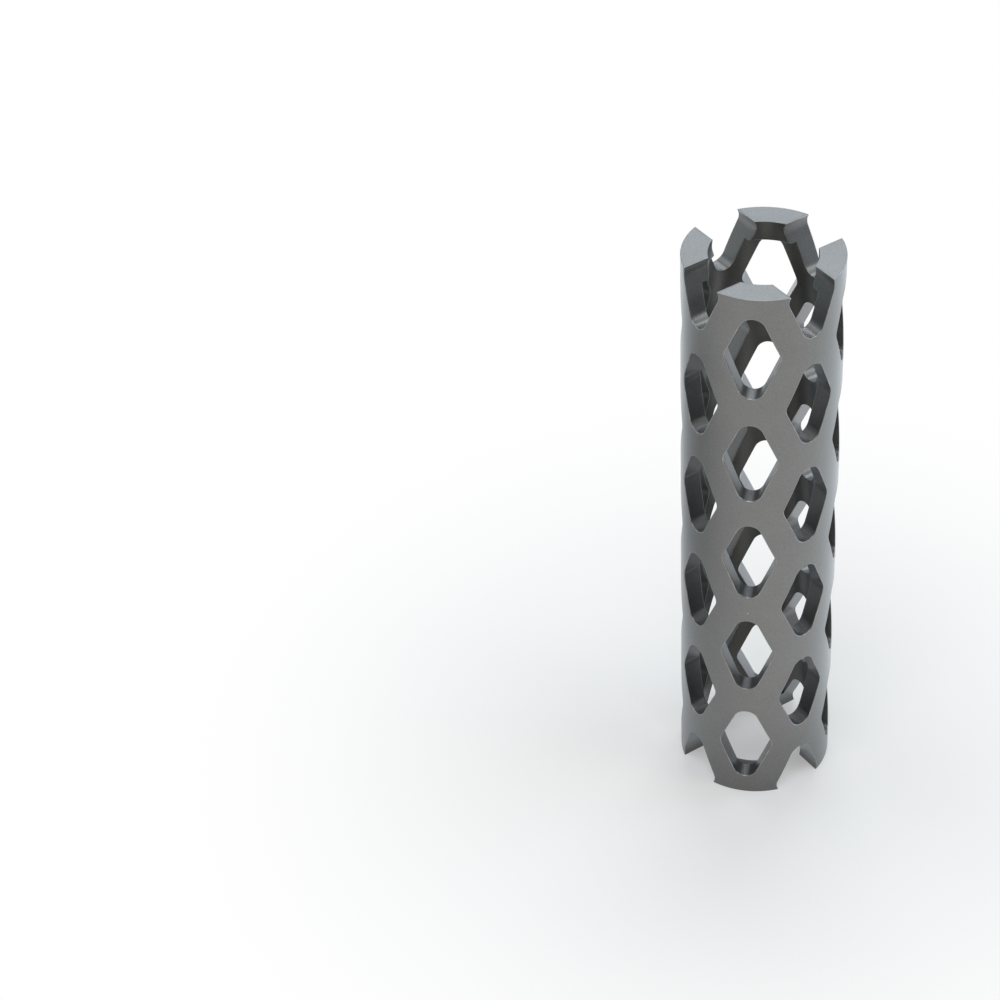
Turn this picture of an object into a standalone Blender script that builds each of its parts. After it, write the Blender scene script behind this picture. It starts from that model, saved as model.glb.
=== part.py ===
"""Tubular mesh cage for the space between two vertebrae, in metres with +Z up.

The cage is one piece of titanium alloy. A tube is turned with a narrower bore at each
end, then diamond windows with rounded corners are milled straight through both walls
from four directions, 45 degrees apart. The rows cut on the diagonal directions lie half
a pitch from the rows on the main directions, so the windows interlock into a lattice.
Each end plane lies just past the middle of a diagonal row. Its half windows leave four
flat teeth, each narrowest a little way in from its end face.

The origin is the centre of the lower end plane, and +Z runs along the tube's axis.
"""

import math

import bmesh
import bpy
from mathutils import Matrix

MM = 0.001

# Turned tube
OUTER_DIAMETER = 12.0 * MM
WALL_THICKNESS = 1.4 * MM
LIP_STEP = 0.6 * MM            # how far each end lip stands in from the bore
LIP_HEIGHT = 1.7 * MM          # along the axis, from the end plane
LIP_CORNER_RADIUS = 0.25 * MM  # on the lip's inner corner
EDGE_BREAK = 0.08 * MM         # chamfer on the rims of both end planes

# Window lattice
WINDOW_WIDTH = 4.05 * MM
WINDOW_HEIGHT = 7.05 * MM
WINDOW_CORNER_RADIUS = 0.95 * MM
ROW_PITCH = 9.5 * MM           # between windows that stand one above the other
END_MARGIN = 0.5 * MM          # from the middle of an end row of half windows to the end plane
MAIN_ROWS = 5
CUT_OVERRUN = 2.0 * MM         # how far each cut runs past the tube on both sides

# Fineness of the facets
TUBE_FACETS = 72
WINDOW_SIDE_STEPS = 4
WINDOW_TIP_STEPS = 9           # odd, so that no point of a tip lies on a tube facet's edge
LIP_CORNER_STEPS = 3
SHARP_ANGLE = math.radians(30.0)

# Finish
CAGE_COLOUR = (0.32, 0.32, 0.31, 1.0)
CAGE_ROUGHNESS = 0.42

LENGTH = MAIN_ROWS * ROW_PITCH + 2 * END_MARGIN
OUTER_RADIUS = OUTER_DIAMETER / 2
BORE_RADIUS = OUTER_RADIUS - WALL_THICKNESS
LIP_RADIUS = BORE_RADIUS - LIP_STEP


def clear_scene():
    """Remove every object the file opened with."""
    for old in list(bpy.data.objects):
        bpy.data.objects.remove(old, do_unlink=True)


def arc(centre, radius, start, end, steps):
    """Points along an arc about centre, from angle start to angle end."""
    angles = [start + (end - start) * i / steps for i in range(steps + 1)]
    return [(centre[0] + radius * math.cos(a), centre[1] + radius * math.sin(a)) for a in angles]


def end_profile():
    """One end of the wall's section as (radius, depth below the end plane), bore side first."""
    corner = arc(
        (LIP_RADIUS + LIP_CORNER_RADIUS, LIP_HEIGHT - LIP_CORNER_RADIUS),
        LIP_CORNER_RADIUS,
        math.pi / 2,
        math.pi,
        LIP_CORNER_STEPS,
    )
    return (
        [(BORE_RADIUS, LIP_HEIGHT)]
        + corner
        + [
            (LIP_RADIUS, EDGE_BREAK),
            (LIP_RADIUS + EDGE_BREAK, 0.0),
            (OUTER_RADIUS - EDGE_BREAK, 0.0),
            (OUTER_RADIUS, EDGE_BREAK),
        ]
    )


def turned_tube():
    """The blank: the wall's section spun about Z, with no windows yet."""
    lower = end_profile()
    upper = [(radius, LENGTH - depth) for radius, depth in reversed(end_profile())]
    bm = bmesh.new()
    verts = [bm.verts.new((radius, 0.0, z)) for radius, z in lower + upper]
    edges = [bm.edges.new((verts[i - 1], verts[i])) for i in range(len(verts))]
    bmesh.ops.spin(
        bm,
        geom=verts + edges,
        cent=(0.0, 0.0, 0.0),
        axis=(0.0, 0.0, 1.0),
        angle=2 * math.pi,
        steps=TUBE_FACETS,
        use_merge=True,
    )
    bmesh.ops.recalc_face_normals(bm, faces=bm.faces)
    mesh = bpy.data.meshes.new("mesh_cage")
    bm.to_mesh(mesh)
    bm.free()
    tube = bpy.data.objects.new("mesh_cage", mesh)
    bpy.context.scene.collection.objects.link(tube)
    return tube


def window_outline():
    """Points (across, up) round one window, which is the hull of four equal circles."""
    side = WINDOW_WIDTH / 2 - WINDOW_CORNER_RADIUS
    tip = WINDOW_HEIGHT / 2 - WINDOW_CORNER_RADIUS
    lean = math.atan2(side, tip)
    corners = [
        ((side, 0.0), -lean, lean, WINDOW_SIDE_STEPS),
        ((0.0, tip), lean, math.pi - lean, WINDOW_TIP_STEPS),
        ((-side, 0.0), math.pi - lean, math.pi + lean, WINDOW_SIDE_STEPS),
        ((0.0, -tip), math.pi + lean, 2 * math.pi - lean, WINDOW_TIP_STEPS),
    ]
    points = []
    for centre, start, end, steps in corners:
        points += arc(centre, WINDOW_CORNER_RADIUS, start, end, steps)
    return points


def window_cutter(name, direction, heights):
    """One column of straight cuts through both walls, at an angle about Z from the Y axis."""
    half_length = OUTER_RADIUS + CUT_OVERRUN
    bm = bmesh.new()
    for height in heights:
        outline = [bm.verts.new((u, -half_length, height + v)) for u, v in window_outline()]
        face = bm.faces.new(outline)
        grown = bmesh.ops.extrude_face_region(bm, geom=[face])["geom"]
        moved = [item for item in grown if isinstance(item, bmesh.types.BMVert)]
        bmesh.ops.translate(bm, verts=moved, vec=(0.0, 2 * half_length, 0.0))
    bmesh.ops.rotate(bm, verts=bm.verts, cent=(0.0, 0.0, 0.0), matrix=Matrix.Rotation(direction, 3, "Z"))
    bmesh.ops.recalc_face_normals(bm, faces=bm.faces)
    mesh = bpy.data.meshes.new(name)
    bm.to_mesh(mesh)
    bm.free()
    cutter = bpy.data.objects.new(name, mesh)
    cutter.hide_render = True
    cutter.display_type = "WIRE"
    bpy.context.scene.collection.objects.link(cutter)
    return cutter


def window_cutters():
    """Four columns of cuts: two main ones, and two diagonal ones half a pitch away."""
    main_heights = [END_MARGIN + (row + 0.5) * ROW_PITCH for row in range(MAIN_ROWS)]
    diagonal_heights = [END_MARGIN + row * ROW_PITCH for row in range(MAIN_ROWS + 1)]
    cutters = []
    for step in range(4):
        heights = diagonal_heights if step % 2 else main_heights
        cutters.append(window_cutter(f"window_cutter_{step + 1}", step * math.pi / 4, heights))
    return cutters


def mill_windows(tube, cutters):
    """Cut the windows out of the tube, keep the result and clear the cutters away."""
    for cutter in cutters:
        cut = tube.modifiers.new(cutter.name, "BOOLEAN")
        cut.operation = "DIFFERENCE"
        cut.solver = "EXACT"
        cut.object = cutter
    depsgraph = bpy.context.evaluated_depsgraph_get()
    milled = bpy.data.meshes.new_from_object(tube.evaluated_get(depsgraph))
    tube.modifiers.clear()
    tube.data = milled
    milled.name = "mesh_cage"
    for cutter in cutters:
        bpy.data.objects.remove(cutter, do_unlink=True)


def blasted_titanium():
    """Satin grey metal."""
    material = bpy.data.materials.new("blasted_titanium")
    material.use_nodes = True
    shader = material.node_tree.nodes["Principled BSDF"]
    shader.inputs["Base Color"].default_value = CAGE_COLOUR
    shader.inputs["Metallic"].default_value = 1.0
    shader.inputs["Roughness"].default_value = CAGE_ROUGHNESS
    return material


def main():
    clear_scene()
    cage = turned_tube()
    mill_windows(cage, window_cutters())
    cage.data.shade_smooth()
    cage.data.set_sharp_from_angle(angle=SHARP_ANGLE)
    cage.data.materials.clear()
    cage.data.materials.append(blasted_titanium())


main()
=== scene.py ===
"""Spinal interbody mesh cage: its finely rounded surface, satin titanium and studio stage."""

import math

import bpy
import numpy as np
from mathutils import Euler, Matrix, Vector


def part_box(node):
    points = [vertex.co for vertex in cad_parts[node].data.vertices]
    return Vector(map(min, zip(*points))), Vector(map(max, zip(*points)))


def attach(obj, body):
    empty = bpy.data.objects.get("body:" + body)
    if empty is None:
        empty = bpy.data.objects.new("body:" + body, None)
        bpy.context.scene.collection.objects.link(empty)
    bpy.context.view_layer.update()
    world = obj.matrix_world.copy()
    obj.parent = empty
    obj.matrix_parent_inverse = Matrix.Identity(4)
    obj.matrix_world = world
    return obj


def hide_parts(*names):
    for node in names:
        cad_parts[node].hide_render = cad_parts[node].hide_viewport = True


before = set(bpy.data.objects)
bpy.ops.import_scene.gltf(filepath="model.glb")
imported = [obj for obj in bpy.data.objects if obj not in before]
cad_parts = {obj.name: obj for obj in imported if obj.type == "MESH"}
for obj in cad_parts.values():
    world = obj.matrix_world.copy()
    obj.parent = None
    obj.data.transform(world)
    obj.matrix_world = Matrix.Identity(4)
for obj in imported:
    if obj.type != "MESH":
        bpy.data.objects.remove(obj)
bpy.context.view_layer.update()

bl_info = {
    "name": "Spinal Interbody Mesh Cage",
    "version": (1, 0, 0),
    "blender": (4, 5, 0),
    "location": "View3D > Sidebar > Mesh Cage",
    "description": "Tubular titanium mesh cage with staggered windows and toothed ends",
    "category": "Add Mesh",
}

MM = 0.001
CAGE_LOW, CAGE_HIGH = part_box("mesh_cage")
EIGHTH_TURN = math.pi / 4    # half the angle that one window's cell spans
WINDOW_COLUMNS = 8           # round the tube
NUMBERING_STEP = 2 * MM      # rows of windows lie further apart than this
OUTER_STOP_DROP = 0.1 * MM   # how much lower the end cells stop outside than in the bore
WELD = 1e-8                  # step of the grid on which points are welded
SLIGHT = 1e-12               # keeps the length of a flattened normal above zero

# Kinds of setting
LENGTH = {"subtype": "DISTANCE", "unit": "LENGTH"}
COLOUR = {"subtype": "COLOR", "min": 0.0, "max": 1.0}
SHARE = {"subtype": "FACTOR", "min": 0.0, "max": 1.0}

# Steps of each stretch of the surface
SIDE_ARC_STEPS = 3
FLANK_STEPS = 8
TIP_ARC_STEPS = 7
FACE_STEPS = 5
RIM_STEPS = 3
WALL_STEPS = 4
CROWN_STEPS = 4
LIP_ARC_STEPS = 4
LIP_STEPS = 5
END_STEPS = 3


class CageSizes(bpy.types.PropertyGroup):
    """Sizes of the tube, its end lips and its windows."""

    outer_diameter: bpy.props.FloatProperty(
        name="Outer Diameter",
        description="Across the outside of the tube",
        default=CAGE_HIGH.x - CAGE_LOW.x,
        **LENGTH,
    )
    wall_thickness: bpy.props.FloatProperty(
        name="Wall Thickness",
        description="Of the tube between its two end lips",
        default=1.4 * MM,
        **LENGTH,
    )
    lip_step: bpy.props.FloatProperty(
        name="Lip Step",
        description="How far each end lip stands in from the bore",
        default=0.6 * MM,
        **LENGTH,
    )
    lip_height: bpy.props.FloatProperty(
        name="Lip Height",
        description="Of each end lip, along the axis",
        default=1.7 * MM,
        **LENGTH,
    )
    lip_corner: bpy.props.FloatProperty(
        name="Lip Corner Radius",
        description="Of the lip's inner corner",
        default=0.25 * MM,
        **LENGTH,
    )
    window_width: bpy.props.FloatProperty(
        name="Window Width",
        description="Across one window, square to the cut",
        default=4.05 * MM,
        **LENGTH,
    )
    window_height: bpy.props.FloatProperty(
        name="Window Height",
        description="Of one window, from tip to tip",
        default=7.05 * MM,
        **LENGTH,
    )
    window_corner: bpy.props.FloatProperty(
        name="Window Corner Radius",
        description="Of the milled corners, which is the cutter's radius",
        default=0.95 * MM,
        **LENGTH,
    )
    row_pitch: bpy.props.FloatProperty(
        name="Row Pitch",
        description="Between windows that stand one above the other",
        default=9.5 * MM,
        **LENGTH,
    )
    end_margin: bpy.props.FloatProperty(
        name="End Margin",
        description="From the middle of an end row of half windows to the end plane",
        default=0.5 * MM,
        **LENGTH,
    )
    main_rows: bpy.props.IntProperty(
        name="Main Rows",
        description="Windows one above the other on each main direction",
        default=5,
        min=2,
    )
    outer_rim: bpy.props.FloatProperty(
        name="Outer Rim Rounding",
        description="Width of the softened edge round each window, outside",
        default=0.09 * MM,
        **LENGTH,
    )
    inner_rim: bpy.props.FloatProperty(
        name="Inner Rim Rounding",
        description="Width of the softened edge round each window, in the bore",
        default=0.05 * MM,
        **LENGTH,
    )
    end_rounding: bpy.props.FloatProperty(
        name="End Rounding",
        description="Radius along the rims of the end faces",
        default=0.04 * MM,
        **LENGTH,
    )


class CageFinish(bpy.types.PropertyGroup):
    """Colour of the blasted titanium, with a painted sheen, a painted rim highlight and painted
    shade on the walls and in the bore.
    """

    metal_colour: bpy.props.FloatVectorProperty(
        name="Titanium",
        description="Colour of the blasted titanium",
        default=(0.183, 0.186, 0.179),
        **COLOUR,
    )
    # Painted shade: the window walls are coloured a little darker than the same titanium outside
    wall_shaded_colour: bpy.props.FloatVectorProperty(
        name="Window Walls",
        description="Colour of the milled window walls, which the blasting only grazes",
        default=(0.166, 0.166, 0.163),
        **COLOUR,
    )
    # Painted shade: the bore is coloured much darker than the same titanium outside
    bore_shaded_colour: bpy.props.FloatVectorProperty(
        name="Bore",
        description="Colour of the bore, which the blasting hardly reaches",
        default=(0.083, 0.081, 0.075),
        **COLOUR,
    )
    dust_colour: bpy.props.FloatVectorProperty(
        name="Dust",
        description="Colour of the few specks of dust",
        default=(0.5, 0.5, 0.48),
        **COLOUR,
    )
    grain: bpy.props.FloatProperty(
        name="Grain",
        description="Contrast of the blasted grain",
        default=0.65,
        subtype="FACTOR",
    )
    mottle: bpy.props.FloatProperty(
        name="Mottle",
        description="Contrast of the slow clouding",
        default=0.3,
        subtype="FACTOR",
    )
    streaks: bpy.props.FloatProperty(
        name="Streaks",
        description="Contrast of the milled streaks on the window walls",
        default=0.2,
        subtype="FACTOR",
    )
    # A painted highlight: lightens the rounded rims of every window and tooth
    rim_highlight: bpy.props.FloatProperty(
        name="Burnish",
        description="How much lighter the worn rims are",
        default=0.8,
        subtype="FACTOR",
    )
    wear: bpy.props.FloatProperty(
        name="Wear",
        description="How much lighter still the rubbed stretches of the rims are",
        default=0.9,
        subtype="FACTOR",
    )
    glance_tint: bpy.props.FloatVectorProperty(
        name="Glancing Tint",
        description="Tint of the metal's reflection at a glancing angle",
        default=(0.74, 0.87, 1.0),
        **COLOUR,
    )
    # A painted sheen: lightens the base colour towards glancing angles, following where the camera
    # looks
    painted_sheen: bpy.props.FloatProperty(
        name="Glance",
        description="How much lighter the satin surface is at a glancing angle",
        default=1.0,
        subtype="FACTOR",
    )
    grain_depth: bpy.props.FloatProperty(
        name="Grain Depth",
        description="Depth of the blasted pits",
        default=0.01 * MM,
        **LENGTH,
    )
    roughness: bpy.props.FloatProperty(
        name="Roughness",
        description="Of the blasted surface",
        default=0.42,
        **SHARE,
    )
    wall_roughness: bpy.props.FloatProperty(
        name="Wall Roughness",
        description="Of the milled window walls",
        default=0.48,
        **SHARE,
    )
    bore_roughness: bpy.props.FloatProperty(
        name="Bore Roughness",
        description="Of the turned bore",
        default=0.42,
        **SHARE,
    )
    oxide_roughness: bpy.props.FloatProperty(
        name="Oxide Roughness",
        description="Of the clear oxide film, which brightens the metal at a glancing angle",
        default=0.27,
        **SHARE,
    )


class StageSettings(bpy.types.PropertyGroup):
    """Floor and light."""

    floor_colour: bpy.props.FloatVectorProperty(
        name="Floor",
        description="Colour of the floor",
        default=(0.8, 0.8, 0.8),
        **COLOUR,
    )
    floor_white: bpy.props.FloatProperty(
        name="White at the Foot",
        description="Share of plain white in the floor at the cage's foot",
        default=0.3,
        **SHARE,
    )
    white_reach: bpy.props.FloatProperty(
        name="White Reach",
        description="Distance from the cage's axis at which the floor is plain white",
        default=50 * MM,
        **LENGTH,
    )
    shade_place: bpy.props.FloatVectorProperty(
        name="Shade",
        description="Middle of the floor's shaded side, as the metal reflects it",
        default=(-49 * MM, -2 * MM, 0.0),
        subtype="TRANSLATION",
        unit="LENGTH",
    )
    shade_level: bpy.props.FloatProperty(
        name="Shade Level",
        description="Brightness of the shaded side in reflections, where plain white is 1",
        default=0.36,
        **SHARE,
    )
    shade_reach: bpy.props.FloatProperty(
        name="Shade Reach",
        description="Distance from the shade at which the reflected floor is plain white",
        default=62 * MM,
        **LENGTH,
    )
    foot_shade: bpy.props.FloatProperty(
        name="Foot Shade",
        description="Share of the reflected white that the floor keeps at the cage's foot",
        default=0.05,
        **SHARE,
    )
    foot_reach: bpy.props.FloatProperty(
        name="Foot Reach",
        description="Distance from the cage's axis at which the foot stops shading reflections",
        default=19 * MM,
        **LENGTH,
    )
    floor_size: bpy.props.FloatProperty(
        name="Floor Size",
        description="Along each side of the floor",
        default=3.0,
        **LENGTH,
    )
    surround: bpy.props.FloatProperty(
        name="Surround",
        description="Grey level of the studio round the lamps",
        default=0.1,
        **SHARE,
    )


def joined(*stretches):
    """Stretches of points end to end along the second last axis, each shared point once."""
    return np.concatenate([stretches[0]] + [part[..., 1:, :] for part in stretches[1:]], axis=-2)


def between(start, end, shares):
    """Points on the way from start to end: start + share * (end - start)."""
    shares = np.asarray(shares)[:, None]
    return start[..., None, :] + shares * (end - start)[..., None, :]


def unit(vectors):
    """Vectors scaled to length one."""
    return vectors / np.linalg.norm(vectors, axis=-1, keepdims=True)


def on_tube(angle, radius, height):
    """Point of a cylinder: (radius * sin angle, radius * cos angle, height)."""
    return np.stack(
        np.broadcast_arrays(radius * np.sin(angle), radius * np.cos(angle), height), axis=-1
    )


class Cell:
    """Numbers of one window's cell, from its middle, with Y along the cut."""

    def __init__(self, sizes):
        self.outer = sizes.outer_diameter / 2
        self.bore = self.outer - sizes.wall_thickness
        self.lip = self.bore - sizes.lip_step
        self.lip_height = sizes.lip_height
        self.lip_corner = sizes.lip_corner
        self.corner = sizes.window_corner
        self.side = sizes.window_width / 2 - self.corner
        self.tip = sizes.window_height / 2 - self.corner
        self.lean = math.atan2(self.side, self.tip)
        self.half_pitch = sizes.row_pitch / 2
        self.margin = sizes.end_margin
        self.rim = sizes.outer_rim
        self.bore_rim = sizes.inner_rim
        self.end_rounding = sizes.end_rounding
        self.rows = sizes.main_rows
        self.length = self.rows * sizes.row_pitch + 2 * self.margin
        # The cells stop short of the end plane, where the teeth begin
        self.outer_stop = self.lip_height - OUTER_STOP_DROP - self.margin
        self.inner_stop = self.lip_height - self.margin

    def half_width(self, height):
        """Half the window's width at a height: side arc, then straight flank, then tip arc."""
        height = np.abs(height)
        bend = self.corner * math.sin(self.lean)
        side = self.side + np.sqrt(np.maximum(self.corner**2 - height**2, 0.0))
        flank = self.corner * math.cos(self.lean) + (self.tip + bend - height) * math.tan(self.lean)
        tip = np.sqrt(np.maximum(self.corner**2 - (height - self.tip) ** 2, 0.0))
        return np.where(height < bend, side, np.where(height > self.tip + bend, tip, flank))

    def tilt(self, height):
        """Angle of the outline's normal at a height, from the across direction."""
        height_share = np.clip(height / self.corner, -1.0, 1.0)
        tip_share = np.clip((np.abs(height) - self.tip) / self.corner, -1.0, 1.0)
        side = np.clip(np.arcsin(height_share), -self.lean, self.lean)
        tip = np.sign(height) * np.maximum(np.arcsin(tip_share), self.lean)
        return np.where(np.abs(height) > self.tip, tip, side)


def quarter_outline(cell):
    """A quarter of the window, from its side to its upper tip, as (half width, height, tilt).

    The centre of a circle of the corner radius slides from the side to the tip. On the side
    arc and the tip arc the tilt turns about that centre, on the flank it stays at the lean.
    """
    tilt = np.concatenate([
        np.linspace(0.0, cell.lean, SIDE_ARC_STEPS + 1),
        np.full(FLANK_STEPS - 1, cell.lean),
        np.linspace(cell.lean, math.pi / 2, TIP_ARC_STEPS + 1),
    ])
    slide = np.concatenate([
        np.zeros(SIDE_ARC_STEPS + 1),
        np.linspace(0.0, 1.0, FLANK_STEPS + 1)[1:-1],
        np.ones(TIP_ARC_STEPS + 1),
    ])
    across = (1 - slide) * cell.side + cell.corner * np.cos(tilt)
    height = slide * cell.tip + cell.corner * np.sin(tilt)
    return np.stack([across, height, tilt], axis=-1)


def bent_edge(start, corner, end, start_normal, end_normal):
    """A small rounding: the quadratic curve from start to end that the corner pulls outwards."""
    t = np.linspace(0.0, 1.0, RIM_STEPS + 1)[:, None]
    points = (
        (1 - t) ** 2 * start[:, None] + 2 * t * (1 - t) * corner[:, None] + t**2 * end[:, None]
    )
    normals = unit((1 - t) * start_normal[:, None] + t * end_normal[:, None])
    return points, normals


def wall_profile(cell, outer, inner, inner_radius, inner_rim, inner_facing):
    """Rim, milled wall and bore rim, carried along a window's outline.

    outer and inner are the outline on the outside and on the bore, as (half width, height,
    tilt, setback half width, setback height). Each profile starts at the outer setback, bends
    round the edge into the wall, runs straight towards the axis along the cut, and bends
    round the bore's edge to the inner setback. inner_facing is the tilt of the bore side's
    normal from the axis towards the bore.
    """

    def setback(outline, radius):
        """Angle and point of the setback on a tube of this radius."""
        angle = np.arcsin(outline[:, 3] / radius)
        return angle, on_tube(angle, radius, outline[:, 4])

    outer_angle, outer_set = setback(outer, cell.outer)
    inner_angle, inner_set = setback(inner, inner_radius)
    outer_depth = np.sqrt(cell.outer**2 - outer[:, 0] ** 2)
    inner_depth = np.sqrt(inner_radius**2 - inner[:, 0] ** 2)
    outer_edge = np.stack([outer[:, 0], outer_depth, outer[:, 1]], axis=-1)
    inner_edge = np.stack([inner[:, 0], inner_depth, inner[:, 1]], axis=-1)

    shares = np.linspace(0.0, 1.0, WALL_STEPS + 1)
    first = (cell.rim / (outer_depth - inner_depth))[:, None]
    last = 1 - (inner_rim / (outer_depth - inner_depth))[:, None]
    share = first + (last - first) * shares
    height = outer[:, None, 1] + share * (inner[:, None, 1] - outer[:, None, 1])
    depth = outer_depth[:, None] + share * (inner_depth - outer_depth)[:, None]
    across = np.where(
        outer[:, None, 1] == inner[:, None, 1], outer[:, None, 0], cell.half_width(height)
    )
    wall = np.stack([across, depth, height], axis=-1)
    tilt = outer[:, None, 2] + share * (inner[:, None, 2] - outer[:, None, 2])
    wall_normals = np.stack([-np.cos(tilt), np.zeros_like(tilt), -np.sin(tilt)], axis=-1)

    out_normals = on_tube(outer_angle, 1.0, np.zeros_like(outer_angle))
    in_normals = on_tube(inner_angle, -np.sin(inner_facing), np.cos(inner_facing))
    rim, rim_normals = bent_edge(
        outer_set, outer_edge, wall[:, 0], out_normals, wall_normals[:, 0]
    )
    bore_rim, bore_rim_normals = bent_edge(
        wall[:, -1], inner_edge, inner_set, wall_normals[:, -1], in_normals
    )
    points = joined(rim, wall, bore_rim)
    normals = joined(rim_normals, wall_normals, bore_rim_normals)
    return points, normals, outer_angle, inner_angle


def tube_face(flat, radius, facing):
    """The tube's surface at rows of (angle, height), with a radius and a facing for each row.

    Its normal is (sin facing * sin angle, sin facing * cos angle, cos facing).
    """
    radius = np.broadcast_to(radius, len(flat))[:, None]
    facing = np.broadcast_to(facing, len(flat))[:, None]
    angle, height = flat[..., 0], flat[..., 1]
    return on_tube(angle, radius, height), on_tube(angle, np.sin(facing), np.cos(facing))


def face_columns(border, setback_angle, setback_height, radius, facing):
    """The tube's surface between a cell's border and the window's setback.

    Angle and height both run straight from the border, given as (angle, height), to the
    setback, and the radius is the tube's.
    """
    shares = np.linspace(0.0, 1.0, FACE_STEPS + 1)
    flat = between(border, np.stack([setback_angle, setback_height], axis=-1), shares)
    return tube_face(flat, radius, facing)


def column_marks(face_steps):
    """Rim, wall and bore mask of each column of a profile, outer face to bore face.

    Across a rounding the rim mask rises and falls as a half sine, and the wall or bore mask
    runs evenly from 0 to 1.
    """
    ramp = np.linspace(0.0, 1.0, RIM_STEPS + 1)
    bell = np.sin(math.pi * ramp)
    flat = np.zeros(face_steps)
    wall = np.zeros(WALL_STEPS - 1)
    return np.stack(
        [
            np.concatenate([flat, bell, wall, bell, flat]),
            np.concatenate([flat, ramp, wall + 1, ramp[::-1], flat]),
            np.concatenate([flat, ramp * 0, wall, ramp, flat + 1]),
        ],
        axis=-1,
    )


def cell_patch(cell, outer, inner, outer_border, inner_border):
    """Outer face, rim, wall, bore rim and bore face between a cell's border and its window."""
    facing = np.full(len(outer), math.pi / 2)
    inner_rim = np.minimum(cell.bore_rim, inner[:, 5])
    wall, wall_normals, outer_angle, inner_angle = wall_profile(
        cell, outer, inner, np.full(len(outer), cell.bore), inner_rim, facing
    )
    face, face_normals = face_columns(
        outer_border, outer_angle, outer[:, 4], cell.outer, math.pi / 2
    )
    bore, bore_normals = face_columns(
        inner_border, inner_angle, inner[:, 4], cell.bore, -math.pi / 2
    )
    points = joined(face, wall, bore[:, ::-1])
    normals = joined(face_normals, wall_normals, bore_normals[:, ::-1])
    marks = np.broadcast_to(column_marks(FACE_STEPS), points.shape)
    return points, normals, marks


def with_setback(outline, rim, slide=1.0):
    """Adds the setback and the rim's width to an outline of (half width, height, tilt).

    At slide 1 the setback lies rim away along the outline's normal. Towards slide 0 it moves
    along the flank, until it is level with the outline's own point.
    """
    across, height, tilt = outline.T
    rise = rim * np.sin(tilt) * slide
    setback_across = across + rim / np.cos(tilt) - rise * np.tan(tilt)
    on_arc = across + rim * np.cos(tilt)
    setback_across = np.where(np.less(slide, 1.0), setback_across, on_arc)
    return np.stack(
        [across, height, tilt, setback_across, height + rise, np.broadcast_to(rim, across.shape)],
        axis=-1,
    )


def whole_quarter(cell):
    """A quarter of a cell whose border is one side of its rhombus, side corner to upper corner."""
    outline = quarter_outline(cell)
    share = np.linspace(0.0, 1.0, len(outline))
    border = np.stack([EIGHTH_TURN * (1 - share), cell.half_pitch * share], axis=-1)
    outer = with_setback(outline, cell.rim)
    inner = with_setback(outline, cell.bore_rim)
    return cell_patch(cell, outer, inner, border, border)


def cut_border(cell, stop):
    """Side of a main cell's rhombus, cut off level where the tooth begins."""
    height = cell.half_pitch - stop
    angle = EIGHTH_TURN * stop / cell.half_pitch
    side_steps = FLANK_STEPS - 1 + TIP_ARC_STEPS
    side = between(
        np.array([EIGHTH_TURN, 0.0]),
        np.array([angle, height]),
        np.linspace(0.0, 1.0, side_steps + 1),
    )
    level = between(
        np.array([angle, height]), np.array([0.0, height]), np.linspace(0.0, 1.0, CROWN_STEPS + 1)
    )
    return joined(side, level)


def end_quarter(cell):
    """A quarter of an end window's cell on the side of the teeth, with the cut-off border."""
    outline = quarter_outline(cell)
    room = (cell.half_pitch - cell.inner_stop - outline[:, 1]) / 2
    outer = with_setback(outline, cell.rim)
    inner = with_setback(outline, np.minimum(cell.bore_rim, room))
    return cell_patch(
        cell, outer, inner, cut_border(cell, cell.outer_stop), cut_border(cell, cell.inner_stop)
    )


def notch_outline(cell, stop, rim):
    """Half window at the end: flank from the stop upwards, then half of the tip arc."""
    bend = cell.tip + cell.corner * math.sin(cell.lean)
    height = np.linspace(stop, bend, FLANK_STEPS)
    flank = np.stack([cell.half_width(height), height, np.full_like(height, cell.lean)], axis=-1)
    arc = quarter_outline(cell)[-(TIP_ARC_STEPS + 1):]
    outline = np.concatenate([flank[:-1], arc])
    slide = np.concatenate([np.linspace(0.0, 1.0, FLANK_STEPS), np.ones(TIP_ARC_STEPS)])
    return with_setback(outline, rim, slide)


def notch_half(cell):
    """Half of the cell round a half window, from the tooth's top up to the cell's corner."""

    def border(stop):
        """The rhombus's side from the stop up to its corner, as (angle, height)."""
        start = np.array([EIGHTH_TURN * (1 - stop / cell.half_pitch), stop])
        steps = np.linspace(0.0, 1.0, FLANK_STEPS + TIP_ARC_STEPS)
        return between(start, np.array([0.0, cell.half_pitch]), steps)

    return cell_patch(
        cell,
        notch_outline(cell, cell.outer_stop, cell.rim),
        notch_outline(cell, cell.inner_stop, cell.bore_rim),
        border(cell.outer_stop),
        border(cell.inner_stop),
    )


def lip_rows(cell):
    """The lip's section in the bore as (radius, height, facing), from the bore down to the end.

    A ledge square to the axis, a quarter circle, then straight down to where the end rounding
    starts. Facing is the normal's angle from the axis towards the bore.
    """
    turn = np.linspace(0.0, math.pi / 2, LIP_ARC_STEPS + 1)
    top = cell.inner_stop
    centre = (cell.lip + cell.lip_corner, top - cell.lip_corner)
    arc = np.stack(
        [
            centre[0] - cell.lip_corner * np.sin(turn),
            centre[1] + cell.lip_corner * np.cos(turn),
            turn,
        ],
        axis=-1,
    )
    ledge = np.array([[cell.bore, top, 0.0]])
    height = np.linspace(centre[1], cell.end_rounding - cell.margin, LIP_STEPS + 1)[1:]
    straight = np.stack(
        [np.full_like(height, cell.lip), height, np.full_like(height, math.pi / 2)], axis=-1
    )
    return np.concatenate([ledge, arc, straight])


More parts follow.
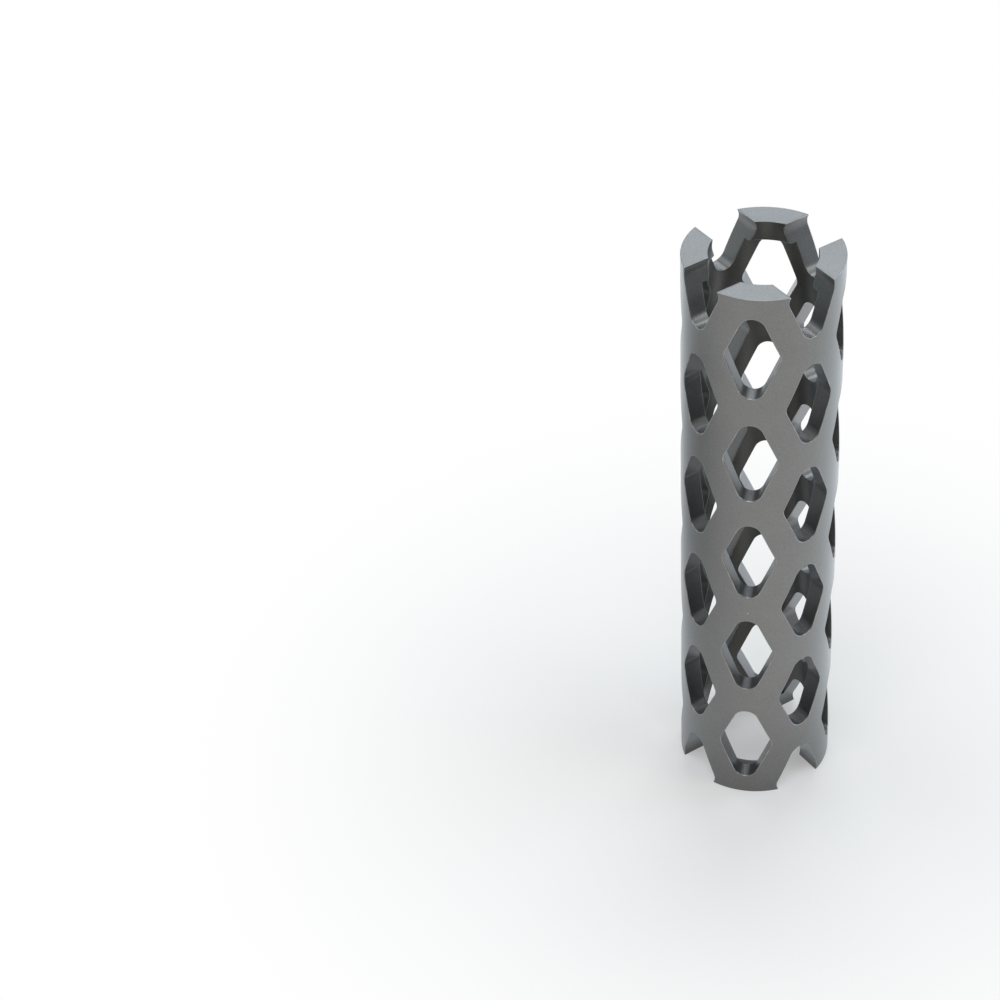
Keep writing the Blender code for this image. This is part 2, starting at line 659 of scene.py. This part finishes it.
def tooth_half(cell):
    """Half a tooth from its middle to its flank, and half of its end face.

    Every row is one half of the tooth's closed section: outer face, rim, flank, bore rim and
    lip. Rows follow the lip's section inside and share the same way along it outside. The
    last rows round over into the end face: at turn t the section is drawn in by
    rounding * (1 - cos t) and stands at rounding * (1 - sin t) above the end plane.
    """
    lip = lip_rows(cell)
    run = np.concatenate([[0.0], np.cumsum(np.linalg.norm(np.diff(lip[:, :2], axis=0), axis=1))])
    first = cell.outer_stop
    last = cell.end_rounding - cell.margin
    outer_height = first + (last - first) * run / run[-1]
    bend = np.linspace(0.0, math.pi / 2, END_STEPS + 1)[1:]
    end_height = cell.end_rounding * (1 - np.sin(bend)) - cell.margin
    outer_height = np.concatenate([outer_height, end_height])
    inner_height = np.concatenate([lip[:, 1], end_height])
    inner_radius = np.concatenate([lip[:, 0], np.full(END_STEPS, cell.lip)])
    facing = np.concatenate([lip[:, 2], np.full(END_STEPS, math.pi / 2)])
    turn = np.concatenate([np.zeros(len(lip)), bend])

    def flank(height, rim):
        """The window's outline at each height, with its setback level beside it."""
        tilt = cell.tilt(height)
        across = cell.half_width(height)
        return np.stack([across, height, tilt, across + rim / np.cos(tilt), height], axis=-1)

    wall, wall_normals, outer_angle, inner_angle = wall_profile(
        cell,
        flank(outer_height, cell.rim),
        flank(inner_height, cell.bore_rim),
        inner_radius,
        np.full(len(inner_radius), cell.bore_rim),
        facing,
    )

    def face(setback_angle, height, radius, facing, stop):
        """The tube's surface from the tooth's middle to a border, then on to the setback."""
        level = EIGHTH_TURN * stop / cell.half_pitch
        spread = (EIGHTH_TURN - setback_angle) / (EIGHTH_TURN - setback_angle[0])
        border = np.stack([EIGHTH_TURN - level * spread, height], axis=-1)
        middle = np.stack([np.full_like(height, EIGHTH_TURN), height], axis=-1)
        crown = between(middle, border, np.linspace(0.0, 1.0, CROWN_STEPS + 1))
        crown_points, crown_normals = tube_face(crown, radius, facing)
        points, normals = face_columns(border, setback_angle, height, radius, facing)
        return joined(crown_points, points), joined(crown_normals, normals)

    outside, outside_normals = face(
        outer_angle, outer_height, cell.outer, math.pi / 2, cell.outer_stop
    )
    inside, inside_normals = face(
        inner_angle, inner_height, inner_radius, facing, cell.inner_stop
    )
    # The bore side's normals point towards the axis
    inside_normals = inside_normals * np.array([-1.0, -1.0, 1.0])
    points = joined(outside, wall, inside[:, ::-1])
    normals = joined(outside_normals, wall_normals, inside_normals[:, ::-1])

    level = unit(normals * np.array([1.0, 1.0, 0.0]) + SLIGHT)
    drawn_in = cell.end_rounding * (1 - np.cos(turn))[:, None, None]
    points = points - drawn_in * level
    down = np.array([0.0, 0.0, -1.0])
    rounding = turn[:, None, None]
    bent = unit(np.cos(rounding) * level + np.sin(rounding) * down)
    normals = np.where(rounding > 0, bent, normals)
    marks = np.tile(column_marks(CROWN_STEPS + FACE_STEPS), (len(turn), 1, 1))
    # The end rounding takes the rim mask too, and with it the painted rim highlight
    marks[:, :, 0] = np.maximum(marks[:, :, 0], np.sin(2 * turn)[:, None])
    return (points, normals, marks), end_face(points[-1], marks[-1])


def end_face(section, section_marks):
    """Half of a tooth's flat end face, spanned across its half section.

    The outer and inner runs of the section are joined by rows, and the middle line and the
    flank by columns: row blend + column blend - corner blend.
    """
    columns = CROWN_STEPS + FACE_STEPS
    outer_run = section[: columns + 1]
    inner_run = section[-(columns + 1):][::-1]
    side = section[columns: len(section) - columns]
    share = np.linalg.norm(side - side[0], axis=-1) / np.linalg.norm(side[-1] - side[0])
    middle = between(outer_run[0], inner_run[0], share)
    run = np.linalg.norm(outer_run - outer_run[0], axis=-1)
    u = (run / run[-1])[None, :, None]
    v = share[:, None, None]
    points = (1 - v) * outer_run[None] + v * inner_run[None]
    points = points + (1 - u) * middle[:, None] + u * side[:, None]
    corners = (1 - v) * ((1 - u) * outer_run[0] + u * outer_run[-1])
    corners = corners + v * ((1 - u) * inner_run[0] + u * inner_run[-1])
    points = points - corners
    marks = np.zeros(points.shape)
    marks[0] = section_marks[: columns + 1]
    marks[-1] = section_marks[-(columns + 1):][::-1]
    marks[:, -1] = section_marks[columns: len(section) - columns]
    return points, np.broadcast_to(np.array([0.0, 0.0, -1.0]), points.shape), marks


def placed(patch, azimuths, heights, ups, sides):
    """Copies of a patch: mirrored across and up by sides and ups, turned and lifted.

    Also gives each point's place in the cutter's view: across, up, and the window's number.
    """
    points, normals, marks = patch
    azimuths, heights, ups, sides = np.broadcast_arrays(azimuths, heights, ups, sides)
    flips = np.stack([sides, np.ones(len(sides)), ups], axis=-1)[:, None, None]
    sine = np.sin(azimuths)
    cosine = np.cos(azimuths)
    zero = np.zeros(len(azimuths))
    # The cell's own Y, along the cut, points to the front (-Y) at azimuth 0
    turn = np.stack(
        [
            np.stack([cosine, sine, zero], axis=-1),
            np.stack([sine, -cosine, zero], axis=-1),
            np.stack([zero, zero, zero + 1], axis=-1),
        ],
        axis=-2,
    )
    lift = np.zeros((len(azimuths), 1, 1, 3))
    lift[:, 0, 0, 2] = heights
    local = points[None] * flips
    column = np.round(azimuths / EIGHTH_TURN)
    number = column + WINDOW_COLUMNS * np.round(heights / NUMBERING_STEP)
    cut = np.stack(
        [local[..., 0], local[..., 2], np.broadcast_to(number[:, None, None], local.shape[:3])],
        axis=-1,
    )
    points = np.einsum("nab,nijb->nija", turn, local) + lift
    normals = np.einsum("nab,nijb->nija", turn, normals[None] * flips)
    return points, normals, np.broadcast_to(marks, points.shape), cut


def every(azimuths, heights, ups, sides):
    """Every combination of the four lists, each as one flat array."""
    grid = np.meshgrid(azimuths, heights, ups, sides, indexing="ij")
    return [values.ravel() for values in grid]


def cage_patches(cell):
    """All patches of the cage, placed: the lattice, then both toothed ends."""
    main = np.arange(4) * 2 * EIGHTH_TURN
    diagonal = main + EIGHTH_TURN
    pitch = 2 * cell.half_pitch
    main_heights = cell.margin + (np.arange(cell.rows) + 0.5) * pitch
    diagonal_heights = cell.margin + np.arange(1, cell.rows) * pitch
    whole = whole_quarter(cell)
    end = end_quarter(cell)
    notch = notch_half(cell)
    tooth, tooth_end = tooth_half(cell)
    both = [-1.0, 1.0]
    patches = [
        placed(whole, *every(main, main_heights[1:-1], both, both)),
        placed(whole, *every(main, main_heights[:1], [1.0], both)),
        placed(whole, *every(main, main_heights[-1:], [-1.0], both)),
        placed(whole, *every(diagonal, diagonal_heights, both, both)),
        placed(end, *every(main, main_heights[:1], [-1.0], both)),
        placed(end, *every(main, main_heights[-1:], [1.0], both)),
    ]
    for height, up in ((cell.margin, 1.0), (cell.length - cell.margin, -1.0)):
        for patch in (notch, tooth, tooth_end):
            patches.append(placed(patch, *every(diagonal, [height], [up], both)))
    return patches


def patch_faces(points, normals):
    """Quads of a stack of grids, each grid's quads turned so that they face its normals."""
    count, rows, columns = points.shape[:3]
    index = np.arange(count * rows * columns).reshape(count, rows, columns)
    quads = np.stack(
        [index[:, :-1, :-1], index[:, 1:, :-1], index[:, 1:, 1:], index[:, :-1, 1:]], axis=-1
    )
    across = points[:, 1:, 1:] - points[:, :-1, :-1]
    along = points[:, :-1, 1:] - points[:, 1:, :-1]
    facing = np.sum(np.cross(across, along) * normals[:, :-1, :-1], axis=(1, 2, 3))
    turned = np.where(facing[:, None, None, None] < 0, quads[..., ::-1], quads)
    return turned.reshape(-1, 4)


def cage_mesh(sizes):
    """The whole cage as one closed mesh with the normals of the exact surface."""
    patches = cage_patches(Cell(sizes))
    starts = np.cumsum([0] + [patch[0][..., 0].size for patch in patches])
    faces = np.concatenate(
        [patch_faces(patch[0], patch[1]) + start for patch, start in zip(patches, starts)]
    )
    points, normals, marks, cut = [
        np.concatenate([patch[part].reshape(-1, 3) for patch in patches]) for part in range(4)
    ]
    keys = np.round(points / WELD).astype(np.int64)
    _, first, welded = np.unique(keys, axis=0, return_index=True, return_inverse=True)
    corners = welded.reshape(-1)[faces]
    mesh = bpy.data.meshes.new("cage")
    mesh.vertices.add(len(first))
    mesh.vertices.foreach_set("co", points[first].ravel())
    mesh.loops.add(corners.size)
    mesh.loops.foreach_set("vertex_index", corners.ravel())
    mesh.polygons.add(len(corners))
    mesh.polygons.foreach_set("loop_start", np.arange(len(corners)) * 4)
    mesh.polygons.foreach_set("use_smooth", np.ones(len(corners), dtype=bool))
    mesh.update(calc_edges=True)
    mesh.validate()
    mesh.normals_split_custom_set(normals[faces.ravel()].tolist())
    # The rim mask carries the painted rim highlight and the wear; the wall and bore masks carry the
    # painted shade, the streaks and the roughness
    for column, name in enumerate(("rim", "wall", "bore")):
        mask = mesh.attributes.new(name, "FLOAT", "POINT")
        mask.data.foreach_set("value", marks[first, column])
    place = mesh.attributes.new("cut", "FLOAT_VECTOR", "POINT")
    place.data.foreach_set("vector", cut[first].ravel())
    return mesh


def node(tree, kind, settings=None, **inputs):
    """Adds a node, sets its settings and fills its inputs with values or links.

    An input is named by its socket, with _ for a space, or by its number as in0, in1 ...
    """
    new = tree.nodes.new(kind)
    for name, value in (settings or {}).items():
        setattr(new, name, value)
    for name, value in inputs.items():
        numbered = name.startswith("in") and name[2:].isdigit()
        socket = new.inputs[int(name[2:])] if numbered else new.inputs[name.replace("_", " ")]
        if isinstance(value, bpy.types.NodeSocket):
            tree.links.new(value, socket)
        else:
            socket.default_value = value
    return new


def maths(tree, operation, *values):
    """Adds a Math node and returns its result."""
    inputs = {f"in{place}": value for place, value in enumerate(values)}
    return node(tree, "ShaderNodeMath", {"operation": operation}, **inputs).outputs[0]


def new_group(name, inputs, outputs):
    """An empty shader node group with its sockets, as (group, inputs' sockets, outputs' node)."""
    group = bpy.data.node_groups.new(name, "ShaderNodeTree")
    for socket, kind, default in inputs:
        made = group.interface.new_socket(socket, in_out="INPUT", socket_type=kind)
        made.default_value = default
    for socket, kind in outputs:
        group.interface.new_socket(socket, in_out="OUTPUT", socket_type=kind)
    return group, group.nodes.new("NodeGroupInput").outputs, group.nodes.new("NodeGroupOutput")


# Finer points of the titanium's finish
NOISE_MIDDLE = 0.5        # the value that noise varies about
WINDOW_GAP = 0.01         # metres between the streak patterns of two windows
# The glance lift in the base colour is a painted sheen
GLANCE_POWER = 3.0        # a higher power keeps the sheen closer to the glancing edge
MOTTLE_ROUGHNESS = 0.12   # roughness that the mottle, the streaks and the rims add
STREAK_ROUGHNESS = 0.15
RIM_ROUGHNESS = -0.08
STREAK_HEIGHT = 0.6       # of the milled streaks, against the grain
BUMP_STRENGTH = 0.35


def blasted_grain_group():
    """Fine pitting of a blasted surface over a slow mottle, both centred on zero."""
    group, given, out = new_group(
        "Blasted Grain",
        [
            ("Vector", "NodeSocketVector", (0.0, 0.0, 0.0)),
            ("Grain Scale", "NodeSocketFloat", 9000.0),
            ("Mottle Scale", "NodeSocketFloat", 350.0),
        ],
        [("Grain", "NodeSocketFloat"), ("Mottle", "NodeSocketFloat")],
    )
    for name, scale, detail in (("Grain", "Grain Scale", 3.0), ("Mottle", "Mottle Scale", 4.0)):
        noise = node(
            group,
            "ShaderNodeTexNoise",
            Vector=given["Vector"],
            Scale=given[scale],
            Detail=detail,
            Roughness=0.6,
        )
        centred = maths(group, "SUBTRACT", noise.outputs["Fac"], NOISE_MIDDLE)
        group.links.new(centred, out.inputs[name])
    return group


def milled_streaks_group():
    """Streaks that a side cutter leaves along its axis, from the place in the cutter's view.

    The place never changes along the cut, so noise on it makes lines straight through the
    wall. A little of the object's own noise breaks them up.
    """
    group, given, out = new_group(
        "Milled Streaks",
        [
            ("Cut", "NodeSocketVector", (0.0, 0.0, 0.0)),
            ("Vector", "NodeSocketVector", (0.0, 0.0, 0.0)),
            ("Streak Scale", "NodeSocketFloat", 2200.0),
        ],
        [("Streaks", "NodeSocketFloat")],
    )
    apart = node(
        group, "ShaderNodeVectorMath", {"operation": "MULTIPLY"},
        in0=given["Cut"], in1=(1.0, 1.0, WINDOW_GAP),
    )
    fine = node(
        group, "ShaderNodeTexNoise", Vector=apart.outputs[0], Scale=given["Streak Scale"],
        Detail=2.0, Roughness=0.7,
    )
    breaking = node(group, "ShaderNodeTexNoise", Vector=given["Vector"], Scale=1500.0, Detail=2.0)
    lines = maths(group, "SUBTRACT", fine.outputs["Fac"], NOISE_MIDDLE)
    strength = maths(group, "ADD", breaking.outputs["Fac"], 1 - NOISE_MIDDLE)
    group.links.new(maths(group, "MULTIPLY", lines, strength), out.inputs["Streaks"])
    return group


def edge_wear_group():
    """Stretches of an edge that handling has rubbed bright: noise over a soft threshold."""
    group, given, out = new_group(
        "Edge Wear",
        [
            ("Vector", "NodeSocketVector", (0.0, 0.0, 0.0)),
            ("Wear Scale", "NodeSocketFloat", 1100.0),
        ],
        [("Wear", "NodeSocketFloat")],
    )
    noise = node(
        group, "ShaderNodeTexNoise", Vector=given["Vector"], Scale=given["Wear Scale"],
        Detail=4.0, Roughness=0.65,
    )
    worn = node(
        group, "ShaderNodeMapRange", {"interpolation_type": "SMOOTHSTEP"},
        Value=noise.outputs["Fac"], From_Min=0.5, From_Max=0.65,
    )
    group.links.new(worn.outputs[0], out.inputs["Wear"])
    return group


def specks_group():
    """Rare small dots: cells of a Voronoi pattern, of which only a few hold a dot."""
    group, given, out = new_group(
        "Specks",
        [
            ("Vector", "NodeSocketVector", (0.0, 0.0, 0.0)),
            ("Cell Scale", "NodeSocketFloat", 700.0),
            ("Dot Size", "NodeSocketFloat", 0.05),
            ("Share", "NodeSocketFloat", 0.05),
        ],
        [("Mask", "NodeSocketFloat")],
    )
    cells = node(
        group, "ShaderNodeTexVoronoi", {"feature": "F1"},
        Vector=given["Vector"], Scale=given["Cell Scale"], Randomness=0.8,
    )
    near = maths(group, "LESS_THAN", cells.outputs["Distance"], given["Dot Size"])
    colour = node(group, "ShaderNodeSeparateColor", Color=cells.outputs["Color"])
    chosen = maths(group, "LESS_THAN", colour.outputs[0], given["Share"])
    group.links.new(maths(group, "MULTIPLY", near, chosen), out.inputs["Mask"])
    return group


def titanium(finish):
    """Satin blasted titanium: mottled grey, rims with a painted highlight and wear, streaked walls
    and a bore darkened by painted shade, and a painted sheen at glancing angles.
    """
    material = bpy.data.materials.new("blasted_titanium")
    material.use_nodes = True
    tree = material.node_tree
    shader = tree.nodes["Principled BSDF"]
    place = node(tree, "ShaderNodeTexCoord").outputs["Object"]

    def mark(name):
        return node(tree, "ShaderNodeAttribute", {"attribute_name": name})

    rim = mark("rim").outputs["Fac"]
    wall = mark("wall").outputs["Fac"]
    bore = mark("bore").outputs["Fac"]
    grain = node(tree, "ShaderNodeGroup", {"node_tree": blasted_grain_group()}, Vector=place)
    streaks = node(
        tree, "ShaderNodeGroup", {"node_tree": milled_streaks_group()},
        Cut=mark("cut").outputs["Vector"], Vector=place,
    )
    dust = node(tree, "ShaderNodeGroup", {"node_tree": specks_group()}, Vector=place)
    wear = node(tree, "ShaderNodeGroup", {"node_tree": edge_wear_group()}, Vector=place)

    wall_streaks = maths(tree, "MULTIPLY", streaks.outputs["Streaks"], wall)
    tone_with_painted_light = maths(tree, "MULTIPLY_ADD", grain.outputs["Grain"], finish.grain, 1.0)
    tone_with_painted_light = maths(tree, "MULTIPLY_ADD", grain.outputs["Mottle"], finish.mottle, tone_with_painted_light)
    tone_with_painted_light = maths(tree, "MULTIPLY_ADD", wall_streaks, finish.streaks, tone_with_painted_light)
    # Rims: a painted highlight all along them, and real wear lighter still in rubbed stretches
    rim_highlight_and_wear = maths(tree, "MULTIPLY_ADD", wear.outputs["Wear"], finish.wear, finish.rim_highlight)
    tone_with_painted_light = maths(tree, "MULTIPLY_ADD", rim, rim_highlight_and_wear, tone_with_painted_light)
    # Painted sheen: the base colour itself lightens towards glancing angles
    facing = node(tree, "ShaderNodeLayerWeight", Blend=0.5).outputs["Facing"]
    glancing = maths(tree, "POWER", facing, GLANCE_POWER)
    tone_with_painted_light = maths(tree, "MULTIPLY_ADD", glancing, finish.painted_sheen, tone_with_painted_light)
    # The walls a little darker than the titanium: painted shade in the windows
    milled = node(
        tree, "ShaderNodeMix", {"data_type": "RGBA"},
        in0=wall, in6=(*finish.metal_colour, 1.0), in7=(*finish.wall_shaded_colour, 1.0),
    )
    # The bore much darker than the titanium: painted shade inside the tube
    metal = node(
        tree, "ShaderNodeMix", {"data_type": "RGBA"},
        in0=bore, in6=milled.outputs[2], in7=(*finish.bore_shaded_colour, 1.0),
    )
    base_with_painted_light = node(
        tree, "ShaderNodeVectorMath", {"operation": "SCALE"}, in0=metal.outputs[2], Scale=tone_with_painted_light
    )
    dusted = node(
        tree, "ShaderNodeMix", {"data_type": "RGBA"},
        in0=dust.outputs["Mask"], in6=base_with_painted_light.outputs[0], in7=(*finish.dust_colour, 1.0),
    )
    tree.links.new(dusted.outputs[2], shader.inputs["Base Color"])
    shader.inputs["Metallic"].default_value = 1.0
    shader.inputs["Specular Tint"].default_value = (*finish.glance_tint, 1.0)
    shader.inputs["Coat Weight"].default_value = 1.0
    shader.inputs["Coat Roughness"].default_value = finish.oxide_roughness
    rough = maths(
        tree, "MULTIPLY_ADD", wall, finish.wall_roughness - finish.roughness, finish.roughness
    )
    for mask, more in (
        (bore, finish.bore_roughness - finish.roughness),
        (grain.outputs["Mottle"], MOTTLE_ROUGHNESS),
        (wall_streaks, STREAK_ROUGHNESS),
        (rim, RIM_ROUGHNESS),
    ):
        rough = maths(tree, "MULTIPLY_ADD", mask, more, rough)
    tree.links.new(rough, shader.inputs["Roughness"])
    height = maths(tree, "MULTIPLY_ADD", wall_streaks, STREAK_HEIGHT, grain.outputs["Grain"])
    bump = node(
        tree, "ShaderNodeBump", Strength=BUMP_STRENGTH, Distance=finish.grain_depth, Height=height
    )
    tree.links.new(bump.outputs[0], shader.inputs["Normal"])
    return material


def floor_material(stage):
    """Pale floor that turns into the white background a little way from the cage.

    Seen directly, it is the lit floor mixed with plain white, whose share grows from
    floor_white at the cage's foot to 1 at white_reach, so the shadow stays round the foot. In
    the metal's reflections it is plain white, which sinks to shade_level towards shade_place on
    the left, and almost to shade_level at the foot. All other light sees the lit floor.
    """
    material = bpy.data.materials.new("studio_floor")
    material.use_nodes = True
    tree = material.node_tree
    tree.nodes.clear()
    rays = node(tree, "ShaderNodeLightPath").outputs
    place = node(tree, "ShaderNodeTexCoord").outputs["Object"]

    def growing(middle, least, reach):
        """Grows smoothly from least in the middle to 1 at reach."""
        distance = node(
            tree, "ShaderNodeVectorMath", {"operation": "DISTANCE"}, in0=place, in1=middle
        )
        return node(
            tree, "ShaderNodeMapRange", {"interpolation_type": "SMOOTHSTEP"},
            Value=distance.outputs["Value"], From_Min=0.0, From_Max=reach, To_Min=least, To_Max=1.0,
        ).outputs[0]

    foot = (0.0, 0.0, 0.0)
    direct = growing(foot, stage.floor_white, stage.white_reach)
    open_share = maths(
        tree, "MULTIPLY",
        growing(stage.shade_place, 0.0, stage.shade_reach),
        growing(foot, stage.foot_shade, stage.foot_reach),
    )
    level = maths(tree, "MULTIPLY_ADD", open_share, 1 - stage.shade_level, stage.shade_level)
    camera_ray = rays["Is Camera Ray"]
    glossy_ray = rays["Is Glossy Ray"]
    share = maths(tree, "MULTIPLY_ADD", camera_ray, direct, glossy_ray)
    brightness = maths(tree, "MULTIPLY_ADD", glossy_ray, level, camera_ray)
    lit = node(tree, "ShaderNodeBsdfDiffuse", Color=(*stage.floor_colour, 1.0))
    plain = node(tree, "ShaderNodeEmission", Color=brightness, Strength=1.0)
    mixed = node(
        tree, "ShaderNodeMixShader", in0=share, in1=lit.outputs[0], in2=plain.outputs[0]
    )
    node(tree, "ShaderNodeOutputMaterial", Surface=mixed.outputs[0])
    return material


# Softboxes as (name, azimuth, elevation, distance, side, brightness, colour), with azimuth 0
# in front (-Y), 90 to the right (+X), in degrees and metres
SOFTBOXES = (
    ("top", -10, 66, 0.6, 0.3, 4.0, (1.0, 1.0, 1.0)),
    ("rear_high", 180, 60, 0.6, 0.3, 2.9, (0.99, 1.03, 0.98)),
    ("rear", 180, 35, 0.5, 0.4, 1.15, (0.91, 0.98, 1.11)),
    ("right_top", 100, 50, 0.6, 0.3, 1.9, (0.92, 0.99, 1.09)),
    ("right_high", 75, 40, 0.5, 0.2, 2.45, (1.06, 1.07, 0.87)),
    ("right_low", 110, 10, 0.6, 0.3, 2.65, (0.71, 0.98, 1.31)),
    ("left_high", -108, 47, 0.6, 0.3, 1.3, (1.05, 0.99, 0.97)),
    ("left", -90, 30, 0.5, 0.4, 0.5, (0.72, 1.04, 1.24)),
)
# The camera's turn in degrees, and its lens and sensor in millimetres
CAMERA_PLACE = (20.0952 * MM, -171.4309 * MM, 166.3646 * MM)
CAMERA_TURN = (50.83893, 2.39186, 11.35494)
CAMERA_LENS = 103.827
SENSOR_WIDTH = 36.0


def softbox_lamp(name, azimuth, elevation, distance, side, brightness, colour):
    """A square lamp that faces the cage's middle, set by the brightness of its surface.

    A square of side a and brightness L gives pi * a * a * L watts.
    """
    azimuth = math.radians(azimuth)
    elevation = math.radians(elevation)
    away = Vector(
        (
            math.sin(azimuth) * math.cos(elevation),
            -math.cos(azimuth) * math.cos(elevation),
            math.sin(elevation),
        )
    )
    light = bpy.data.lights.new(name, "AREA")
    light.shape = "SQUARE"
    light.size = side
    light.energy = math.pi * side**2 * brightness
    light.color = colour
    lamp = bpy.data.objects.new(name, light)
    lamp.location = (CAGE_LOW + CAGE_HIGH) / 2 + distance * away
    lamp.rotation_euler = (-away).to_track_quat("-Z", "Y").to_euler()
    lamp.visible_camera = False
    return lamp


def photo_camera():
    """The camera at the photograph's viewpoint, for a square picture."""
    lens = bpy.data.cameras.new("photo_camera")
    lens.sensor_width = SENSOR_WIDTH
    lens.lens = CAMERA_LENS
    lens.clip_start = 0.01
    lens.clip_end = 10.0
    camera = bpy.data.objects.new("photo_camera", lens)
    camera.location = CAMERA_PLACE
    camera.rotation_euler = Euler([math.radians(angle) for angle in CAMERA_TURN])
    return camera


class MakeCage(bpy.types.Operator):
    """Make the cage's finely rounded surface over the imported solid"""

    bl_idname = "mesh_cage.make_cage"
    bl_label = "Make Cage"

    def execute(self, context):
        scene = context.scene
        cage = bpy.data.objects.new("cage", cage_mesh(scene.cage_sizes))
        scene.collection.objects.link(cage)
        cage.data.materials.append(titanium(scene.cage_finish))
        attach(cage, "root")
        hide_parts("mesh_cage")
        return {"FINISHED"}


class MakeStage(bpy.types.Operator):
    """Make the floor, the soft studio light and the camera"""

    bl_idname = "mesh_cage.make_stage"
    bl_label = "Make Stage"

    def execute(self, context):
        scene = context.scene
        stage = scene.cage_stage
        collection = scene.collection
        mesh = bpy.data.meshes.new("studio_floor")
        half = stage.floor_size / 2
        corners = [(-half, -half, 0), (half, -half, 0), (half, half, 0), (-half, half, 0)]
        mesh.from_pydata(corners, [], [(0, 1, 2, 3)])
        mesh.materials.append(floor_material(stage))
        floor = bpy.data.objects.new("studio_floor", mesh)
        collection.objects.link(floor)

        for softbox in SOFTBOXES:
            collection.objects.link(softbox_lamp(*softbox))
        world = bpy.data.worlds.new("studio")
        world.use_nodes = True
        background = world.node_tree.nodes["Background"]
        background.inputs["Color"].default_value = (1.0, 1.0, 1.0, 1.0)
        background.inputs["Strength"].default_value = stage.surround
        scene.world = world

        scene.camera = photo_camera()
        collection.objects.link(scene.camera)
        scene.view_settings.view_transform = "Standard"
        return {"FINISHED"}


class CagePanel(bpy.types.Panel):
    """The cage's pieces and sizes in the sidebar"""

    bl_idname = "VIEW3D_PT_mesh_cage"
    bl_label = "Mesh Cage"
    bl_space_type = "VIEW_3D"
    bl_region_type = "UI"
    bl_category = "Mesh Cage"

    def draw(self, context):
        layout = self.layout
        scene = context.scene
        for group in (scene.cage_sizes, scene.cage_finish, scene.cage_stage):
            box = layout.box()
            for name in group.bl_rna.properties.keys():
                if name not in ("rna_type", "name"):
                    box.prop(group, name)
        for operator in OPERATORS:
            layout.operator(operator.bl_idname)


GROUPS = (CageSizes, CageFinish, StageSettings)
OPERATORS = (MakeCage, MakeStage)


def register():
    """Register the classes and give the scene their settings."""
    for item in GROUPS + OPERATORS + (CagePanel,):
        bpy.utils.register_class(item)
    bpy.types.Scene.cage_sizes = bpy.props.PointerProperty(type=CageSizes)
    bpy.types.Scene.cage_finish = bpy.props.PointerProperty(type=CageFinish)
    bpy.types.Scene.cage_stage = bpy.props.PointerProperty(type=StageSettings)


def unregister():
    """Take the settings and the classes away again."""
    del bpy.types.Scene.cage_stage
    del bpy.types.Scene.cage_finish
    del bpy.types.Scene.cage_sizes
    for item in reversed(GROUPS + OPERATORS + (CagePanel,)):
        bpy.utils.unregister_class(item)


def main():
    register()
    bpy.ops.mesh_cage.make_cage()
    bpy.ops.mesh_cage.make_stage()
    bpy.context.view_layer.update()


if __name__ == "__main__":
    main()
